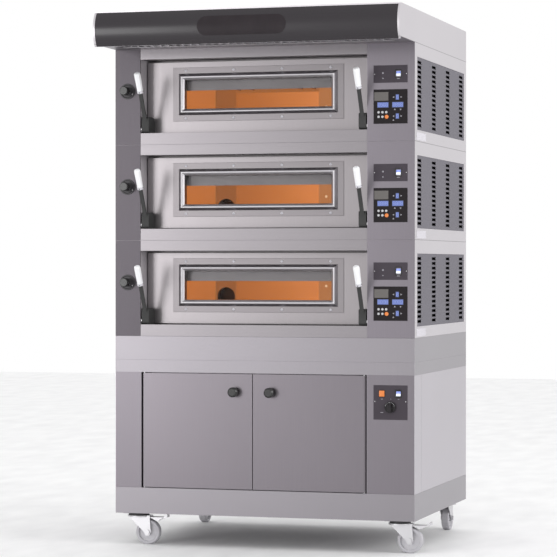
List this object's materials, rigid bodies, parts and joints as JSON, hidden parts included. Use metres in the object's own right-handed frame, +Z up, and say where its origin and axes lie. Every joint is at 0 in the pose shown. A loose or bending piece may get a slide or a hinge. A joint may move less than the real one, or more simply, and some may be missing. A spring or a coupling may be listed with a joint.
{
  "type": "deck oven",
  "caption": "Stacked electric bakery deck oven with drop-down glazed doors and side levers, on a two-door prover cabinet with castors, under an overhanging hood.",
  "frame": {"origin": "on the floor under the middle of the body's width and depth, hood overhang and brake pedals not counted", "axes": "+Z up, +X to the right seen from the front, the front faces -Y"},
  "size_m": [1.291, 1.241, 2.18],
  "materials": {
    "steel_case": "brushed stainless sheet, light side faces",
    "steel_front": "brushed stainless sheet, vertical grain",
    "steel_door": "brushed stainless sheet",
    "steel_moulding": "brushed stainless pressing",
    "chamber_steel": "heat-tinted sheet lit from inside",
    "oven_glass": "tempered clear glass",
    "hub_black": "satin black",
    "grip_clear": "clear cool-touch grip",
    "knob_black": "polished black",
    "switch_white": "lit white rocker",
    "panel_dark": "dark control foil",
    "panel_foil": "printed black foil",
    "display_blue": "backlit display",
    "key_white": "round keys",
    "key_orange": "orange key and lamp",
    "louvre_grey": "blue-grey paint",
    "visor_black": "gloss black",
    "baking_stone": "refractory slab",
    "element_steel": "oxidised sheath",
    "pin_steel": "bright steel",
    "mineral_wool": "fibrous wool",
    "gland_black": "moulded black",
    "screw_white": "bright dome heads",
    "castor_zinc": "zinc-plated pressing",
    "castor_plate": "dark plate",
    "castor_tread": "grey-white non-marking tread"
  },
  "bodies": {
    "frame": {"deck1_casing": "steel_case", "deck1_front_frame": "steel_front", "deck1_chamber": "chamber_steel", "deck2_casing": "steel_case", "deck2_front_frame": "steel_front", "deck2_chamber": "chamber_steel", "deck3_casing": "steel_case", "deck3_front_frame": "steel_front", "deck3_chamber": "chamber_steel", "control_panels": "panel_dark", "louvre_panels": "louvre_grey", "baking_stones": "baking_stone", "heating_elements": "element_steel", "hinge_pins": "pin_steel", "insulation": "mineral_wool", "cable_glands": "gland_black", "hood_shell": "steel_case", "hood_visor": "visor_black", "flue_spigot": "steel_case", "riser": "steel_front", "stand_cabinet": "steel_front", "tray_runners": "pin_steel", "castor_plates": "castor_plate"},
    "deck1_oven_door": {"deck1_door": "steel_door", "deck1_window_frame": "steel_moulding", "deck1_glass": "oven_glass", "deck1_levers": "hub_black", "deck1_grips": "grip_clear"},
    "deck1_vent": {"deck1_vent_knob": "knob_black"},
    "deck1_rocker": {"deck1_switch": "switch_white"},
    "deck2_oven_door": {"deck2_door": "steel_door", "deck2_window_frame": "steel_moulding", "deck2_glass": "oven_glass", "deck2_levers": "hub_black", "deck2_grips": "grip_clear"},
    "deck2_vent": {"deck2_vent_knob": "knob_black"},
    "deck2_rocker": {"deck2_switch": "switch_white"},
    "deck3_oven_door": {"deck3_door": "steel_door", "deck3_window_frame": "steel_moulding", "deck3_glass": "oven_glass", "deck3_levers": "hub_black", "deck3_grips": "grip_clear"},
    "deck3_vent": {"deck3_vent_knob": "knob_black"},
    "deck3_rocker": {"deck3_switch": "switch_white"},
    "cabinet_left_leaf": {"cabinet_door_left": "steel_door", "cabinet_knob_left": "knob_black"},
    "cabinet_right_leaf": {"cabinet_door_right": "steel_door", "cabinet_knob_right": "knob_black"},
    "thermostat": {"thermostat_dial": "knob_black"},
    "prover_rocker": {"prover_switch": "switch_white"},
    "swivel_front_left": {"castor_fork_front_left": "castor_zinc"},
    "wheel_front_left": {"castor_wheel_front_left": "castor_tread"},
    "pedal_front_left": {"brake_pedal_front_left": "castor_zinc"},
    "swivel_front_right": {"castor_fork_front_right": "castor_zinc"},
    "wheel_front_right": {"castor_wheel_front_right": "castor_tread"},
    "pedal_front_right": {"brake_pedal_front_right": "castor_zinc"},
    "swivel_rear_left": {"castor_fork_rear_left": "castor_zinc"},
    "wheel_rear_left": {"castor_wheel_rear_left": "castor_tread"},
    "swivel_rear_right": {"castor_fork_rear_right": "castor_zinc"},
    "wheel_rear_right": {"castor_wheel_rear_right": "castor_tread"}
  },
  "joints": [
    {"name": "deck1_door_hinge", "type": "hinge", "parent": "frame", "child": "deck1_oven_door", "pos_m": [-0.042, -0.4655, 1.678], "axis": [1, 0, 0], "range_deg": [0, 90]},
    {"name": "deck1_vent_pull", "type": "slide", "parent": "frame", "child": "deck1_vent", "axis": [0, -1, 0], "range_m": [0, 0.05]},
    {"name": "deck1_switch_tilt", "type": "hinge", "parent": "frame", "child": "deck1_rocker", "pos_m": [0.555, -0.476, 1.877], "axis": [1, 0, 0], "range_deg": [0, 16]},
    {"name": "deck2_door_hinge", "type": "hinge", "parent": "frame", "child": "deck2_oven_door", "pos_m": [-0.042, -0.4655, 1.293], "axis": [1, 0, 0], "range_deg": [0, 90]},
    {"name": "deck2_vent_pull", "type": "slide", "parent": "frame", "child": "deck2_vent", "axis": [0, -1, 0], "range_m": [0, 0.05]},
    {"name": "deck2_switch_tilt", "type": "hinge", "parent": "frame", "child": "deck2_rocker", "pos_m": [0.555, -0.476, 1.492], "axis": [1, 0, 0], "range_deg": [0, 16]},
    {"name": "deck3_door_hinge", "type": "hinge", "parent": "frame", "child": "deck3_oven_door", "pos_m": [-0.042, -0.4655, 0.908], "axis": [1, 0, 0], "range_deg": [0, 90]},
    {"name": "deck3_vent_pull", "type": "slide", "parent": "frame", "child": "deck3_vent", "axis": [0, -1, 0], "range_m": [0, 0.05]},
    {"name": "deck3_switch_tilt", "type": "hinge", "parent": "frame", "child": "deck3_rocker", "pos_m": [0.555, -0.476, 1.107], "axis": [1, 0, 0], "range_deg": [0, 16]},
    {"name": "cabinet_left_hinge", "type": "hinge", "parent": "frame", "child": "cabinet_left_leaf", "pos_m": [-0.498, -0.472, 0.4675], "axis": [0, 0, -1], "range_deg": [0, 100]},
    {"name": "cabinet_right_hinge", "type": "hinge", "parent": "frame", "child": "cabinet_right_leaf", "pos_m": [0.416, -0.472, 0.4675], "axis": [0, 0, 1], "range_deg": [0, 100]},
    {"name": "thermostat_turn", "type": "hinge", "parent": "frame", "child": "thermostat", "pos_m": [0.523, -0.48, 0.5755], "axis": [0, 1, 0], "range_deg": [0, 270]},
    {"name": "prover_switch_tilt", "type": "hinge", "parent": "frame", "child": "prover_rocker", "pos_m": [0.555, -0.476, 0.6275], "axis": [1, 0, 0], "range_deg": [0, 16]},
    {"name": "swivel_front_left_turn", "type": "hinge", "parent": "frame", "child": "swivel_front_left", "pos_m": [-0.545, -0.408, 0.1165], "axis": [0, 0, 1], "continuous": true},
    {"name": "wheel_front_left_roll", "type": "hinge", "parent": "swivel_front_left", "child": "wheel_front_left", "pos_m": [-0.503, -0.408, 0.05], "axis": [0, 1, 0], "continuous": true},
    {"name": "pedal_front_left_press", "type": "hinge", "parent": "swivel_front_left", "child": "pedal_front_left", "pos_m": [-0.499, -0.408, 0.108], "axis": [0, 1, 0], "range_deg": [0, 10]},
    {"name": "swivel_front_right_turn", "type": "hinge", "parent": "frame", "child": "swivel_front_right", "pos_m": [0.545, -0.408, 0.1165], "axis": [0, 0, 1], "continuous": true},
    {"name": "wheel_front_right_roll", "type": "hinge", "parent": "swivel_front_right", "child": "wheel_front_right", "pos_m": [0.587, -0.408, 0.05], "axis": [0, 1, 0], "continuous": true},
    {"name": "pedal_front_right_press", "type": "hinge", "parent": "swivel_front_right", "child": "pedal_front_right", "pos_m": [0.591, -0.408, 0.108], "axis": [0, 1, 0], "range_deg": [0, 10]},
    {"name": "swivel_rear_left_turn", "type": "hinge", "parent": "frame", "child": "swivel_rear_left", "pos_m": [-0.545, 0.408, 0.1165], "axis": [0, 0, 1], "continuous": true},
    {"name": "wheel_rear_left_roll", "type": "hinge", "parent": "swivel_rear_left", "child": "wheel_rear_left", "pos_m": [-0.545, 0.45, 0.05], "axis": [1, 0, 0], "continuous": true},
    {"name": "swivel_rear_right_turn", "type": "hinge", "parent": "frame", "child": "swivel_rear_right", "pos_m": [0.545, 0.408, 0.1165], "axis": [0, 0, 1], "continuous": true},
    {"name": "wheel_rear_right_roll", "type": "hinge", "parent": "swivel_rear_right", "child": "wheel_rear_right", "pos_m": [0.545, 0.45, 0.05], "axis": [1, 0, 0], "continuous": true}
  ]
}
